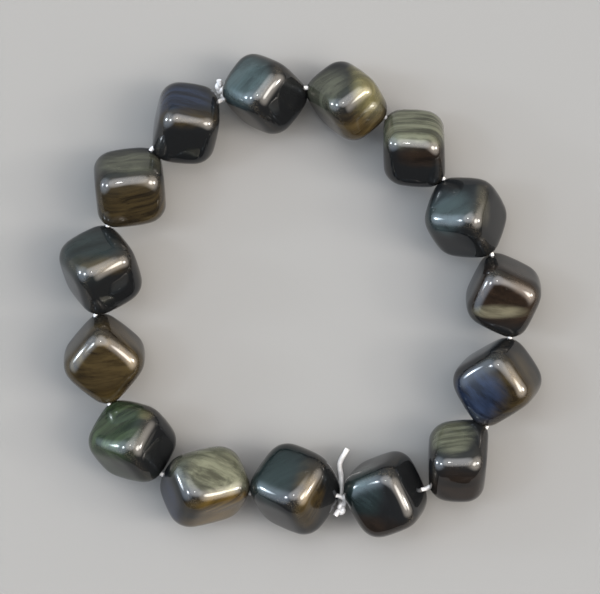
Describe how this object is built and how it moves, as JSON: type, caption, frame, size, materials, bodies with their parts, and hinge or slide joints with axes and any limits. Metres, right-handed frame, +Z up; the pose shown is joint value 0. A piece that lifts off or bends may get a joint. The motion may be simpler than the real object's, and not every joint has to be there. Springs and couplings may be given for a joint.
{
  "type": "obsidian bead bracelet",
  "caption": "Stretch bracelet of tumbled obsidian cubes, drilled corner to corner and strung on a knotted white elastic cord.",
  "frame": {"origin": "on the surface that the bracelet lies on, under the middle of its outline", "axes": "+Z straight up out of the ring's plane, +Y towards the far side of the ring from a viewer who stands at the knot with two tails, +X to that viewer's right"},
  "size_m": [0.0702, 0.0701, 0.0134],
  "materials": {
    "obsidian": "polished",
    "gold_sheen_obsidian": "polished",
    "white_elastic": "satin"
  },
  "bodies": {
    "root": {"bead_01": "obsidian", "bead_02": "gold_sheen_obsidian", "bead_03": "gold_sheen_obsidian", "bead_04": "obsidian", "bead_05": "obsidian", "bead_06": "obsidian", "bead_07": "gold_sheen_obsidian", "bead_08": "obsidian", "bead_09": "obsidian", "bead_10": "gold_sheen_obsidian", "bead_11": "gold_sheen_obsidian", "bead_12": "gold_sheen_obsidian", "bead_13": "obsidian", "bead_14": "gold_sheen_obsidian", "bead_15": "obsidian", "elastic_cord": "white_elastic"}
  },
  "joints": []
}
